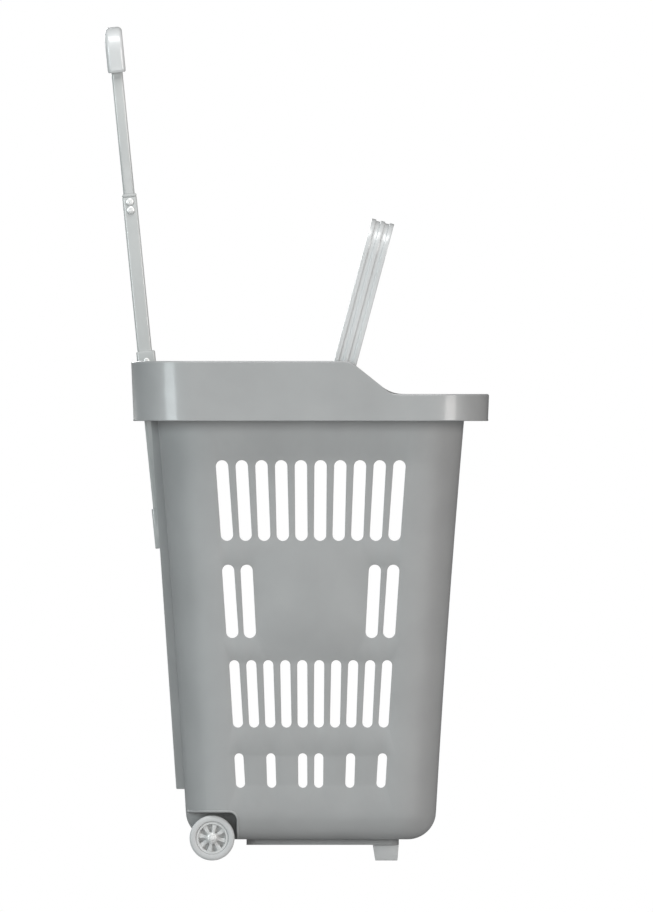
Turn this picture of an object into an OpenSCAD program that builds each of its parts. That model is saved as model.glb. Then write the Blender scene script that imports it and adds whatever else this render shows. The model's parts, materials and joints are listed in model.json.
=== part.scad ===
// Rolling basket trolley: a tapered shopping tub on two rear wheels and two front feet,
// with a telescopic pull handle at the rear and a folding carry handle.
// Millimetres. +X points to the low front rim, +Z up, and the wheels roll about Y.

/* [Show] */

// Which piece to draw

/* [Tub] */

// Centre of the tub along X
tub_x = 17; // [16:0.2:18]
// Height of the tub's underside above the ground
floor_z = 25.4; // [24.6:0.2:26]
// Outside length of the tub above its rounded bottom edge
base_length = 300.4; // [297:0.2:302]
// Outside width of the tub above its rounded bottom edge
base_width = 259; // [257:1:264]
// Outside length of the tub at its mouth
mouth_length = 380.6; // [377:0.2:382]
// Outside length of the tub at its waist, halfway up
waist_length = 333; // [331:0.2:336]
// Outside width of the tub at its mouth
mouth_width = 340; // [336:1:342]
// Radius of the bottom edge
edge_radius = 34; // [32:1:36]
// Plan corner radius above the bottom edge
base_corner = 50; // [46:1:52]
// Plan corner radius at the mouth
mouth_corner = 65; // [60:1:70]
// Wall thickness
wall = 3; // [2.6:0.1:3.4]

/* [Slots] */

// Number of slots in each full row
slots_per_row = 10; // [8:2:10]
// Pitch of the upper slots
upper_pitch = 23; // [22:0.5:24]
// Height of the middle of the upper row
upper_row_z = 432; // [428:1:436]
// Height of the middle of the short row
short_row_z = 311; // [307:1:315]
// Height of the middle of the lower row
lower_row_z = 200; // [196:1:204]
// Height of the middle of the bottom row
bottom_row_z = 108; // [106:0.2:110]

/* [Rim] */

// Height of the rim's top at the rear
rim_rear_z = 599.4; // [597:0.2:601]
// Height of the rim's top at the front
rim_front_z = 559.8; // [557:0.2:562]
// Height of the rim's lower edge
rim_bottom_z = 527.4; // [525:0.2:529]
// Length of the rim at its lower edge
rim_length = 425.4; // [424:0.2:428]
// Width of the rim at its lower edge
rim_width = 372; // [368:1:380]
// Plan corner radius of the rim
rim_corner = 74; // [70:1:80]
// Thickness of the rim's skirt
skirt = 3; // [2.6:0.2:3.4]

/* [Pull handle] */

// Rearward lean of the tubes from vertical
tube_lean = 5.7; // [5.6:0.05:5.75]
// Distance of each tube from the middle plane
tube_y = 68; // [66:1:69]
// Outer tube section along the rolling direction
outer_depth = 17.4; // [17:0.2:17.8]
// Outer tube section across the trolley
outer_width = 12; // [11.8:0.1:12.4]
// Inner tube section along the rolling direction
inner_depth = 13.5; // [13.2:0.1:13.7]
// Inner tube section across the trolley
inner_width = 8.3; // [8:0.1:8.5]
// Section of the grip along the rolling direction
grip_depth = 21.6; // [20.6:0.2:22.4]

/* [Carry handle] */

// Pivot position along X
pivot_x = 51.2; // [48.2:1:54.2]
// Pivot height
pivot_z = 571; // [570:1:572]
// Forward lean of the carry handle at rest
carry_lean = 15; // [13:1:17]
// Height of the carry handle above its pivot
carry_height = 203; // [198:1:206]
// Width of the carry handle's band
carry_band = 27.4; // [27:0.2:30]

/* [Wheels and feet] */

// Wheel radius
wheel_r = 27; // [26.4:0.2:27.4]
// Wheel centre along X
wheel_x = -101.6; // [-103:0.2:-100]
// Tyre width
tyre_width = 20; // [18:1:21]
// Number of spokes
spokes = 8; // [6:1:10]
// Axle radius
axle_r = 3; // [2.8:0.1:3.2]

/* [Hidden] */

$fn = 64;
hull_fn = 40;
cut = 400;

LEFT = 1;
RIGHT = -1;
sides = [LEFT, RIGHT];

// Tub
base_arc_z = floor_z + edge_radius;
mouth_z = rim_rear_z + 2;
waist_z = 312;
waist_share = (waist_z - base_arc_z) / (mouth_z - base_arc_z);
waist_width = base_width + (mouth_width - base_width) * waist_share;
waist_corner = base_corner + (mouth_corner - base_corner) * waist_share;
fan = 0.105;
slots_x = tub_x - 0.2;
function even_row(pitch) = [for (i = [0 : slots_per_row - 1]) (i - (slots_per_row - 1) / 2) * pitch];

// Slot rows: height of the middle, length, width, places along the tub
slot_rows = [
  [upper_row_z, 97, 14.8, even_row(upper_pitch)],
  [short_row_z, 88.2, 14.6, [-96.6, -75, 75, 96.6]],
  [lower_row_z, 81, 12.1, even_row(19.9)],
  [bottom_row_z, 41.4, 10.9, [-85.2, -47.4, -9.6, 9.6, 47.4, 85.2]],
];

// Rim: its top follows a level rear part, an S-curve and a level front part
rim_x = 17.6;
rim_slope = 0.04;
rim_top = 3.4;
s_start_x = 57;
s_radius = 20;
s_angle = 38;
s_steps = 10;
s_run = 2 * s_radius * sin(s_angle);
s_drop = 2 * s_radius * (1 - cos(s_angle));
s_length = (rim_rear_z - rim_front_z - s_drop) / sin(s_angle);
s_end_x = s_start_x + s_run + s_length * cos(s_angle);

// Tube line: where the tubes' centre line crosses the level of the rear rim
tube_x = -181.2;
tube_clear = 0.35;
tube_corner = 3;
outer_top = 201.6;
outer_bottom = -225.5;
bush_height = 4;
shoe_length = 48;
shoe_grow = 1.4;
shoe_back = 1.3;
inner_top = 372;
inner_bottom = 141;
inner_wall = 1.2;
rivet_heights = [181.9, 191.7];
rivet_head_r = 4.6;
rivet_head_h = 2;
rivet_shank_r = 2;

// Rail: a bar through the rear wall, with a groove for the tube in its back
rail_side = 3;
groove_clear = 0.5;
groove_width = outer_width + shoe_grow + 2 * groove_clear;
groove_front = (outer_depth + shoe_grow) / 2 + groove_clear;
rail_width = groove_width + 2 * rail_side;
rail_bottom_z = 85.8;
rail_top_z = rim_rear_z - rim_top;
rail_rear_top_x = -179.4;
rail_rear_bottom_x = -144.6;
groove_end_z = 100;

// Collar
collar_shift = 0.9;
collar_length = 22.6;
collar_width = 22;
collar_height = 12.2;
collar_below = 10;
collar_screw_r = 3.6;
collar_screw_h = 1.6;

// Grip
grip_bottom = 347.9;
grip_top = 402.6;
grip_bar = 22;
grip_corner = 30;
grip_edge = 4;
grip_half = tube_y + grip_bar / 2;
grip_screw_z = 360;

// Carry handle: a web with three ribs standing outward from it
carry_half = 157;
carry_web = 8.4;
carry_rib = 1.6;
carry_corner = 40;
carry_rib_width = 5.4;
pin_r = 5;
pin_head_r = 8;
pin_head_h = 2;
bush_r = 9;
bush_clear = 0.05;
bush_inner_y = carry_half + 2;
bush_outer_y = 172;

// Wheels
recess_inner_y = 93;
recess_front_x = -71.7;
recess_top_z = 57.8;
recess_corner = 10;
axle_boss_r = 9;
wheel_y = 115;
hub_length = 22;
hub_r = 7;
hub_clear = 0.05;
ring_inner_r = 16.4;
tyre_inner_r = 19.6;
ring_width = 16;
web_thickness = 3;
spoke_root = 2.4;
spoke_tip = 6;
spoke_depth = 12;
spoke_turn = 34;
tyre_round = 4;
retainer_r = 5.4;
retainer_h = 1.2;
side_gap = 0.3;

// Base plate and feet
plate_z = 18.7;
plate_rear_x = -60.3;
plate_front_x = 122.5;
plate_half = 88;
plate_corner = 12;
plate_skin = 2.7;
boss_r = 6;
screw_xs = [-42, 72];
screw_y = 66;
screw_head_r = 4;
screw_head_h = 1.8;
screw_head_z = plate_z + 2;
screw_r = 2;
screw_tip_z = floor_z + wall - 0.6;
foot_y = 68;
foot_top = [91.2, 122.4];
foot_bottom = [94.2, 120.8];
foot_top_half = 16;
foot_bottom_half = 13;

grey = [0.62, 0.63, 0.63];
light_grey = [0.7, 0.71, 0.71];
dark_grey = [0.42, 0.43, 0.43];
steel = [0.78, 0.79, 0.8];

// ---- shared shapes ----

// Points along an arc between two angles
function arc(centre, r, from, to, steps) =
  [for (i = [0 : steps])
    let (a = from + (to - from) * i / steps)
      centre + r * [cos(a), sin(a)]];

// A rectangle with round corners, centred
module round_rect(size, r) {
  square([size.x, size.y - 2 * r], center = true);
  square([size.x - 2 * r, size.y], center = true);
  for (x = [-1, 1], y = [-1, 1])
    translate([x * (size.x / 2 - r), y * (size.y / 2 - r)])
      circle(r);
}

// A slot with round ends, centred, standing upright
module slot(length, width) {
  square([width, length - width], center = true);
  for (end = [-1, 1])
    translate([0, end * (length - width) / 2])
      circle(width / 2);
}

// An upright arch filled in: straight sides from y = 0 and two round top corners
module arch(half, height, r) {
  translate([-half, 0])
    square([2 * half, height - r]);
  translate([-(half - r), 0])
    square([2 * (half - r), height]);
  for (side = sides)
    translate([side * (half - r), height - r])
      intersection() {
        circle(r);
        translate([-r, 0])
          square([2 * r, r]);
      }
}

// Draws a side view outline (x, z) as a solid of the given width, centred on the middle plane
module side_solid(width) {
  rotate([90, 0, 0])
    linear_extrude(width, center = true)
      children();
}

// Draws a rear view outline (y, z) as a solid of the given depth along x, centred
module rear_solid(depth) {
  rotate([90, 0, 90])
    linear_extrude(depth, center = true)
      children();
}

// Lays a +Z solid along +Y on the left side or -Y on the right
module outward(side) {
  rotate([-90 * side, 0, 0])
    children();
}

// Moves a child into the frame of the leaning tubes, z up along them
module on_tubes(side = 0) {
  translate([tube_x, side * tube_y, rim_rear_z])
    rotate([0, -tube_lean, 0])
      children();
}

// Moves a child into the frame of the leaning carry handle, z up along its arms
module on_carry() {
  translate([pivot_x, 0, pivot_z])
    rotate([0, carry_lean, 0])
      children();
}

// ---- tub ----

module corner_disc(r, z, height) {
  translate([0, 0, z])
    cylinder(r = r, h = height, $fn = hull_fn);
}

module bottom_corner(inset) {
  translate([0, 0, base_arc_z])
    rotate_extrude($fn = hull_fn)
      intersection() {
        translate([base_corner - edge_radius, 0])
          circle(edge_radius - inset, $fn = hull_fn);
        translate([0, -edge_radius])
          square([base_corner, edge_radius]);
      }
}

// Puts a child at the four corners of a rectangle that is centred on centre_x and has corner radius r
module at_corners(centre_x, length, width, r) {
  for (x = [-1, 1], y = [-1, 1])
    translate([centre_x + x * (length / 2 - r), y * (width / 2 - r), 0])
      children();
}

module waist_ring(inset) {
  at_corners(tub_x, waist_length, waist_width, waist_corner)
    corner_disc(waist_corner - inset, waist_z - 0.05, 0.1);
}

// The tapered tub as a solid, with its faces moved in by inset; its ends are slightly waisted
module tub_solid(inset) {
  hull() {
    at_corners(tub_x, base_length, base_width, base_corner)
      bottom_corner(inset);
    waist_ring(inset);
  }
  hull() {
    waist_ring(inset);
    at_corners(tub_x, mouth_length, mouth_width, mouth_corner)
      corner_disc(mouth_corner - inset, mouth_z - 1, 1);
  }
}

// Everything under the rim's top line, lowered by drop
module under_rim_line(drop) {
  first = [s_start_x, rim_rear_z - s_radius];
  last = [s_end_x, rim_front_z + s_radius];
  translate([0, 0, -drop])
    side_solid(2 * cut)
      polygon(concat(
        [[-cut, 0], [-cut, rim_rear_z]],
        arc(first, s_radius, 90, 90 - s_angle, s_steps),
        arc(last, s_radius, 270 - s_angle, 270, s_steps),
        [[cut, rim_front_z], [cut, 0]]
      ));
}

// The slots through both side walls, fanned out like the taper of the tub
module all_slots() {
  for (row = slot_rows, x = row[3])
    translate([slots_x + x, 0, row[0]])
      rotate([0, atan(x / base_length * 2 * fan), 0])
        side_solid(cut)
          slot(row[1], row[2]);
}

// The space of one wheel recess, from its inner wall outward, grown by grow
module wheel_recess(side, grow) {
  length = cut + recess_front_x + grow;
  height = recess_top_z + grow;
  r = recess_corner + grow;
  translate([0, side * (recess_inner_y - grow + cut / 2), 0])
    side_solid(cut) {
      translate([-cut, -grow])
        square([length - r, height + grow]);
      translate([-cut, -grow])
        square([length, height + grow - r]);
      translate([recess_front_x + grow - r, height - r])
        circle(r);
    }
}

module axle_boss() {
  translate([wheel_x, 0, wheel_r])
    rotate([90, 0, 0])
      cylinder(r = axle_boss_r, h = 2 * (wheel_y - hub_length / 2 - side_gap), center = true);
}

module axle_rod(r, half) {
  translate([wheel_x, 0, wheel_r])
    rotate([90, 0, 0])
      cylinder(r = r, h = 2 * half, center = true);
}

module plate_screw_places() {
  for (x = screw_xs, side = sides)
    translate([x, side * screw_y, 0])
      children();
}

module basket_body() {
  color(grey)
    difference() {
      union() {
        intersection() {
          tub_solid(0);
          under_rim_line(rim_top);
        }
        axle_boss();
      }
      difference() {
        tub_solid(wall);
        for (side = sides)
          wheel_recess(side, wall);
        axle_boss();
      }
      for (side = sides) {
        difference() {
          wheel_recess(side, 0);
          axle_boss();
        }
        rail_block(side);
        collar_block(side);
        translate([pivot_x, side * bush_inner_y, pivot_z])
          outward(side)
            cylinder(r = bush_r, h = bush_outer_y - bush_inner_y);
      }
      all_slots();
      axle_rod(axle_r, cut);
      plate_screw_places()
        cylinder(r = screw_r, h = screw_tip_z);
    }
}

// ---- rim ----

// The rim as a solid block, with its faces moved in by inset
module rim_solid(inset) {
  grow = 2 * (rim_rear_z - rim_bottom_z) * rim_slope;
  hull() {
    at_corners(rim_x, rim_length, rim_width, rim_corner)
      corner_disc(rim_corner - inset, rim_bottom_z - inset, 1);
    at_corners(rim_x, rim_length + grow, rim_width + grow, rim_corner)
      corner_disc(rim_corner - inset, rim_rear_z - 1, 1);
  }
}

module rim_band() {
  color(light_grey)
    difference() {
      intersection() {
        rim_solid(0);
        under_rim_line(0);
      }
      intersection() {
        rim_solid(skirt);
        under_rim_line(rim_top);
      }
      tub_solid(wall);
      for (side = sides) {
        collar_block(side);
        collar_screw_space(side);
      }
    }
}

// ---- rails and collars ----

module rail_block(side) {
  lean = tan(tube_lean);
  front = (groove_front + rail_side) / cos(tube_lean);
  function front_x(z) = tube_x - (z - rim_rear_z) * lean + front;
  translate([0, side * tube_y, 0])
    side_solid(rail_width)
      polygon([
        [rail_rear_bottom_x, rail_bottom_z],
        [rail_rear_top_x, rail_top_z],
        [front_x(rail_top_z), rail_top_z],
        [front_x(rail_bottom_z), rail_bottom_z],
      ]);
}

module rail(side) {
  color(grey)
    difference() {
      rail_block(side);
      intersection() {
        on_tubes(side)
          translate([groove_front - cut, -groove_width / 2, -2 * cut])
            cube([cut, groove_width, 4 * cut]);
        translate([-cut, -cut, groove_end_z])
          cube(2 * cut);
      }
    }
}

module rail_left() { rail(LEFT); }

module rail_right() { rail(RIGHT); }

module collar_block(side) {
  on_tubes(side)
    translate([collar_shift, 0, -collar_below])
      linear_extrude(collar_below + collar_height)
        round_rect([collar_length, collar_width], tube_corner);
}

// Where a collar's screw sits, on the outward face of the collar
module at_collar_screw(side) {
  on_tubes(side)
    translate([collar_shift, side * collar_width / 2, 0])
      outward(side)
        children();
}

module collar_screw_space(side) {
  at_collar_screw(side)
    cylinder(r = collar_screw_r + 0.6, h = collar_screw_h + 0.6);
}

module collar(side) {
  shank = (collar_width - outer_width) / 2 - tube_clear - 0.6;
  color(light_grey)
    difference() {
      collar_block(side);
      on_tubes(side)
        linear_extrude(4 * collar_below, center = true)
          round_rect([outer_depth + 2 * tube_clear, outer_width + 2 * tube_clear], tube_corner);
      rail_block(side);
      at_collar_screw(side)
        translate([0, 0, -shank])
          cylinder(r = 1.4, h = 2 * shank);
    }
}

module collar_left() { collar(LEFT); }

module collar_right() { collar(RIGHT); }

module collar_screws() {
  shank = (collar_width - outer_width) / 2 - tube_clear - 0.6;
  color(steel)
    for (side = sides)
      at_collar_screw(side) {
        cylinder(r = collar_screw_r, h = collar_screw_h);
        translate([0, 0, -shank])
          cylinder(r = 1.4, h = shank + collar_screw_h / 2);
      }
}

// ---- outer tubes ----

module outer_tube(side) {
  bore = [inner_depth + 2 * tube_clear, inner_width + 2 * tube_clear];
  color(light_grey)
    difference() {
      on_tubes(side)
        translate([0, 0, outer_bottom + bush_height])
          linear_extrude(outer_top - outer_bottom - 2 * bush_height)
            difference() {
              round_rect([outer_depth, outer_width], tube_corner);
              round_rect(bore, tube_corner - 1);
            }
      rivet_shanks(side);
    }
}

module outer_tube_left() { outer_tube(LEFT); }

module outer_tube_right() { outer_tube(RIGHT); }

module tube_shoe(side) {
  color(light_grey)
    on_tubes(side)
      translate([0, 0, outer_bottom])
        difference() {
          translate([-shoe_back / 2, 0, 0])
            linear_extrude(shoe_length)
              round_rect([outer_depth + shoe_grow + shoe_back, outer_width + shoe_grow], tube_corner);
          translate([0, 0, bush_height])
            linear_extrude(shoe_length)
              round_rect([outer_depth, outer_width], tube_corner);
        }
}

module tube_shoe_left() { tube_shoe(LEFT); }

module tube_shoe_right() { tube_shoe(RIGHT); }

module tube_bush(side) {
  bore = [inner_depth + 2 * tube_clear, inner_width + 2 * tube_clear];
  color(dark_grey)
    on_tubes(side)
      translate([0, 0, outer_top - bush_height])
        linear_extrude(bush_height)
          difference() {
            round_rect([outer_depth, outer_width], tube_corner);
            round_rect(bore, tube_corner - 1);
          }
}

module tube_bush_left() { tube_bush(LEFT); }

module tube_bush_right() { tube_bush(RIGHT); }

module at_rivets(side) {
  on_tubes(side)
    for (z = rivet_heights)
      translate([0, side * outer_width / 2, z])
        outward(side)
          children();
}

module rivet_shanks(side) {
  at_rivets(side)
    translate([0, 0, -outer_width / 4])
      cylinder(r = rivet_shank_r, h = outer_width / 4);
}

// A domed head on a short shank that ends flush with the bore of the tube
module tube_rivets() {
  tube_wall = (outer_width - inner_width) / 2 - tube_clear;
  dome_r = (pow(rivet_head_r, 2) + pow(rivet_head_h, 2)) / (2 * rivet_head_h);
  color(steel)
    for (side = sides)
      at_rivets(side) {
        intersection() {
          translate([0, 0, rivet_head_h - dome_r])
            sphere(dome_r);
          cylinder(r = rivet_head_r, h = rivet_head_h);
        }
        translate([0, 0, -tube_wall])
          cylinder(r = rivet_shank_r, h = tube_wall + rivet_head_h / 2);
      }
}

// ---- inner tubes and grip ----

module inner_tube(side) {
  color(light_grey)
    on_tubes(side)
      translate([0, 0, inner_bottom])
        linear_extrude(inner_top - inner_bottom)
          difference() {
            round_rect([inner_depth, inner_width], tube_corner - 1);
            round_rect([inner_depth, inner_width] - 2 * [inner_wall, inner_wall], 1);
          }
}

module inner_tube_left() { inner_tube(LEFT); }

module inner_tube_right() { inner_tube(RIGHT); }

module grip_screw_shape(r, from, to) {
  on_tubes()
    for (side = sides)
      translate([0, side * (grip_half - grip_bar), grip_screw_z])
        outward(side)
          translate([0, 0, from])
            cylinder(r = r, h = to - from);
}

module pull_grip() {
  height = grip_top - grip_bottom;
  color(light_grey)
    difference() {
      on_tubes()
        translate([0, 0, grip_bottom])
          intersection() {
            rear_solid(grip_depth)
              difference() {
                arch(grip_half, height, grip_corner);
                arch(grip_half - grip_bar, height - grip_bar, grip_corner - grip_bar);
              }
            side_solid(cut)
              translate([0, (height - grip_edge) / 2])
                round_rect([grip_depth, height + grip_edge], grip_edge);
          }
      for (side = sides)
        on_tubes(side)
          translate([0, 0, inner_bottom])
            linear_extrude(inner_top - inner_bottom)
              round_rect([inner_depth, inner_width], tube_corner - 1);
      grip_screw_shape(1.5, -1, (grip_bar - inner_width) / 2);
    }
}

module grip_screws() {
  color(steel) {
    grip_screw_shape(3, -1.4, 0);
    grip_screw_shape(1.5, -0.7, (grip_bar - inner_width) / 2);
  }
}

// ---- carry handle ----

// The carry handle's arch filled in, with its outline moved in by inset
module carry_arch(inset) {
  translate([0, -carry_band])
    arch(carry_half - inset, carry_height + carry_band - inset, carry_corner - inset);
}

module carry_handle() {
  color(light_grey)
    difference() {
      on_carry()
        intersection() {
          difference() {
            union() {
              rear_solid(carry_band)
                carry_arch(carry_rib);
              for (x = [-1, 0, 1])
                translate([x * (carry_band - carry_rib_width) / 2, 0, 0])
                  rear_solid(carry_rib_width)
                    carry_arch(0);
            }
            rear_solid(2 * carry_band)
              carry_arch(carry_rib + carry_web);
          }
          side_solid(cut) {
            translate([-carry_band / 2, 0])
              square([carry_band, carry_height]);
            circle(carry_band / 2);
          }
        }
      for (side = sides)
        pivot_shape(side, pin_r, 0, carry_half);
    }
}

// A round shape on the pivot axis, between two distances from the middle plane
module pivot_shape(side, r, from, to) {
  translate([pivot_x, side * from, pivot_z])
    outward(side)
      cylinder(r = r, h = to - from);
}

module pivot_pin(side) {
  inner = carry_half - carry_rib - carry_web;
  color(steel) {
    pivot_shape(side, pin_head_r, inner - pin_head_h, inner);
    pivot_shape(side, pin_r, inner, bush_outer_y - 1);
  }
}

module pivot_pin_left() { pivot_pin(LEFT); }

module pivot_pin_right() { pivot_pin(RIGHT); }

module pivot_bush(side) {
  color(dark_grey)
    difference() {
      pivot_shape(side, bush_r, bush_inner_y, bush_outer_y);
      pivot_shape(side, pin_r + bush_clear, 0, cut);
    }
}

module pivot_bush_left() { pivot_bush(LEFT); }

module pivot_bush_right() { pivot_bush(RIGHT); }

// ---- wheels ----

module axle() {
  color(steel)
    axle_rod(axle_r, wheel_y + hub_length / 2 + side_gap + retainer_h + 1);
}

module axle_retainers() {
  color(steel)
    for (side = sides)
      translate([wheel_x, side * (wheel_y + hub_length / 2 + side_gap), wheel_r])
        outward(side)
          difference() {
            cylinder(r = retainer_r, h = retainer_h);
            cylinder(r = axle_r, h = retainer_h);
          }
}

// Moves a child onto a wheel's centre, with z along the axle
module on_wheel(side) {
  translate([wheel_x, side * wheel_y, wheel_r])
    rotate([90, 0, 0])
      children();
}

module ring(outer, inner, width) {
  difference() {
    cylinder(r = outer, h = width, center = true);
    cylinder(r = inner, h = width, center = true);
  }
}

// A wedge that widens from the hub to the ring
module spoke() {
  tip_x = ring_inner_r + 1;
  linear_extrude(spoke_depth, center = true)
    polygon([[0, -spoke_root / 2], [tip_x, -spoke_tip / 2], [tip_x, spoke_tip / 2], [0, spoke_root / 2]]);
}

module wheel_hub(side) {
  color(light_grey)
    on_wheel(side)
      difference() {
        union() {
          ring(tyre_inner_r, ring_inner_r, ring_width);
          cylinder(r = hub_r, h = hub_length, center = true);
          cylinder(r = ring_inner_r, h = web_thickness, center = true);
          for (i = [0 : spokes - 1])
            rotate([0, 0, spoke_turn + i * 360 / spokes])
              spoke();
        }
        cylinder(r = axle_r + hub_clear, h = hub_length, center = true);
      }
}

module wheel_hub_left() { wheel_hub(LEFT); }

module wheel_hub_right() { wheel_hub(RIGHT); }

module tyre(side) {
  color(grey)
    on_wheel(side)
      rotate_extrude()
        difference() {
          translate([wheel_r / 2, 0])
            round_rect([wheel_r, tyre_width], tyre_round);
          translate([0, -tyre_width / 2])
            square([tyre_inner_r, tyre_width]);
        }
}

module tyre_left() { tyre(LEFT); }

module tyre_right() { tyre(RIGHT); }

// ---- base plate and feet ----

module plate_outline(inset) {
  translate([(plate_rear_x + plate_front_x) / 2, 0])
    round_rect([plate_front_x - plate_rear_x - 2 * inset, 2 * (plate_half - inset)], plate_corner - inset);
}

module base_plate() {
  height = floor_z - plate_z;
  color(grey)
    difference() {
      translate([0, 0, plate_z])
        linear_extrude(height)
          plate_outline(0);
      difference() {
        translate([0, 0, plate_z + plate_skin])
          linear_extrude(height)
            plate_outline(wall);
        plate_screw_places()
          cylinder(r = boss_r, h = 2 * floor_z);
      }
      plate_screw_places() {
        cylinder(r = screw_r, h = screw_tip_z);
        cylinder(r = screw_head_r + side_gap, h = screw_head_z);
      }
    }
}

module base_screws() {
  shank_z = screw_head_z - screw_head_h / 2;
  color(steel)
    plate_screw_places() {
      translate([0, 0, screw_head_z - screw_head_h])
        cylinder(r = screw_head_r, h = screw_head_h);
      translate([0, 0, shank_z])
        cylinder(r = screw_r, h = screw_tip_z - shank_z);
    }
}

module front_foot(side) {
  color(grey)
    translate([0, side * foot_y, 0])
      intersection() {
        side_solid(cut)
          polygon([
            [foot_bottom[0], 0],
            [foot_bottom[1], 0],
            [foot_top[1], plate_z],
            [foot_top[0], plate_z],
          ]);
        rear_solid(cut)
          polygon([
            [-foot_bottom_half, 0],
            [foot_bottom_half, 0],
            [foot_top_half, plate_z],
            [-foot_top_half, plate_z],
          ]);
      }
}

module front_foot_left() { front_foot(LEFT); }

module front_foot_right() { front_foot(RIGHT); }

// ---- drawing ----

basket_body();
rim_band();
rail_left();
rail_right();
collar_left();
collar_right();
collar_screws();
outer_tube_left();
outer_tube_right();
tube_shoe_left();
tube_shoe_right();
tube_bush_left();
tube_bush_right();
tube_rivets();
inner_tube_left();
inner_tube_right();
pull_grip();
grip_screws();
carry_handle();
pivot_pin_left();
pivot_pin_right();
pivot_bush_left();
pivot_bush_right();
axle();
axle_retainers();
wheel_hub_left();
wheel_hub_right();
tyre_left();
tyre_right();
base_plate();
base_screws();
front_foot_left();
front_foot_right();
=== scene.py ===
import json
import math

import bmesh
import bpy
from mathutils import Matrix, Vector


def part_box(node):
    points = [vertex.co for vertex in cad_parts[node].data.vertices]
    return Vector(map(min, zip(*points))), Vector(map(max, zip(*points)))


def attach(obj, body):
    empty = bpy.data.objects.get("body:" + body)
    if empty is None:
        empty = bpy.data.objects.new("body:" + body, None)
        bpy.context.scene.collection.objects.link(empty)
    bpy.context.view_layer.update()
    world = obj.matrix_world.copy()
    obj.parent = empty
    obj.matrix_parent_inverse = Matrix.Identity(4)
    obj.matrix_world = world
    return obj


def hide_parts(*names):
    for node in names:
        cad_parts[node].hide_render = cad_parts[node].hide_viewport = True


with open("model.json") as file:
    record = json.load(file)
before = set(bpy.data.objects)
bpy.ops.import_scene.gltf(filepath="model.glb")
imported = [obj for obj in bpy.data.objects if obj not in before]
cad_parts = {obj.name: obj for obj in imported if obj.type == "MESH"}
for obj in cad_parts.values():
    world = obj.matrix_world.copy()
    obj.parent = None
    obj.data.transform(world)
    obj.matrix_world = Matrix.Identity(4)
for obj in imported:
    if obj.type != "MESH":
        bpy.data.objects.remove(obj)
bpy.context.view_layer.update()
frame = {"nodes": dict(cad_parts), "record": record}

scene = bpy.context.scene
MM = 0.001
SIDES = {"left": 1, "right": -1}


# ---- measures taken from the frame, and those that the frame doesn't name ----

def middle(node):
    low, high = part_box(node)
    return (low + high) / 2


rim_low, rim_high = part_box("rim_band")
TUB_X = 17 * MM
FLOOR_Z = 25.4 * MM
BASE_HALF = Vector((150.2, 129.5)) * MM
WAIST_HALF_X = 166.5 * MM
MOUTH_HALF = Vector((190.3, 170.0)) * MM
WAIST_Z = 312 * MM
MOUTH_Z = rim_high.z + 2 * MM
EDGE_R = 34 * MM
BASE_CORNER = 50 * MM
MOUTH_CORNER = 65 * MM
WALL = 3 * MM
ARC_Z = FLOOR_Z + EDGE_R

RIM_X = (rim_low.x + rim_high.x) / 2
RIM_BOTTOM = rim_low.z
RIM_REAR = rim_high.z
RIM_FRONT = 559.8 * MM
RIM_HALF = Vector((212.7, 186.0)) * MM
RIM_CORNER = 74 * MM
RIM_SLOPE = 0.04
RIM_TOP = 3.4 * MM
SKIRT = 3 * MM
S_START = 57 * MM
S_R = 20 * MM
S_ANGLE = math.radians(38)

TUBE_LEAN = math.radians(5.7)
TUBE_X = -181.2 * MM
TUBE_Y = abs(middle("inner_tube_left").y)
OUTER = Vector((17.4, 12)) * MM
INNER = Vector((13.5, 8.3)) * MM
CLEAR = 0.35 * MM
OUTER_TOP = 201.6 * MM
OUTER_BOTTOM = -225.5 * MM
INNER_TOP = 372 * MM
INNER_BOTTOM = 141 * MM
BUSH_HEIGHT = 4 * MM
SHOE = OUTER + Vector((2.7, 1.4)) * MM
SHOE_HEIGHT = 48 * MM
SHOE_SHIFT = -0.65 * MM
RIVETS_Z = (181.9 * MM, 191.7 * MM)

GRIP_BOTTOM = 347.9 * MM
GRIP_TOP = 402.6 * MM
GRIP_BAR = Vector((21.6, 22)) * MM
GRIP_CORNER = 5.5 * MM
GRIP_BEND = 19 * MM

COLLAR = Vector((22.6, 22)) * MM
COLLAR_SHIFT = 0.9 * MM
COLLAR_BOTTOM = -10 * MM
COLLAR_TOP = 12.2 * MM

RAIL_FRONT = TUBE_X + 12.3 * MM
RAIL_REAR_BOTTOM = -144 * MM
RAIL_REAR_TOP = -184 * MM

CARRY_X = middle("pivot_pin_left").x
CARRY_Z = middle("pivot_pin_left").z
CARRY_LEAN = math.radians(15)
CARRY_HALF = 157 * MM
CARRY_HEIGHT = 203 * MM
CARRY_BAND = 27.4 * MM
CARRY_CORNER = 40 * MM
CARRY_DEPTH = 10 * MM
CARRY_WEB = 8.4 * MM
CARRY_RIB = 5.4 * MM

WHEEL = middle("wheel_hub_left")
WHEEL_R = 27 * MM
TYRE_HALF = 10 * MM
TYRE_INNER_R = 19.6 * MM
RING_INNER_R = 16.4 * MM
HUB_R = 7 * MM
BORE_R = 3.05 * MM
SPOKES = 8
SPOKE_TURN = 34


# ---- materials ----

def node(tree, kind, **inputs):
    n = tree.nodes.new(kind)
    for key, value in inputs.items():
        n.inputs[key.replace("_", " ")].default_value = value
    return n


def ramp(tree, source, stops):
    """A colour ramp over a source socket, with stops as (position, colour or grey)."""
    n = tree.nodes.new("ShaderNodeValToRGB")
    while len(n.color_ramp.elements) < len(stops):
        n.color_ramp.elements.new(0.5)
    for element, (position, value) in zip(n.color_ramp.elements, stops):
        element.position = position
        element.color = (*value, 1) if isinstance(value, tuple) else (value, value, value, 1)
    tree.links.new(source, n.inputs["Fac"])
    return n.outputs["Color"]


def noise(tree, coords, scale, detail=2.0, roughness=0.5):
    n = node(tree, "ShaderNodeTexNoise", Scale=scale, Detail=detail, Roughness=roughness)
    tree.links.new(coords, n.inputs["Vector"])
    return n.outputs["Fac"]


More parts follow.
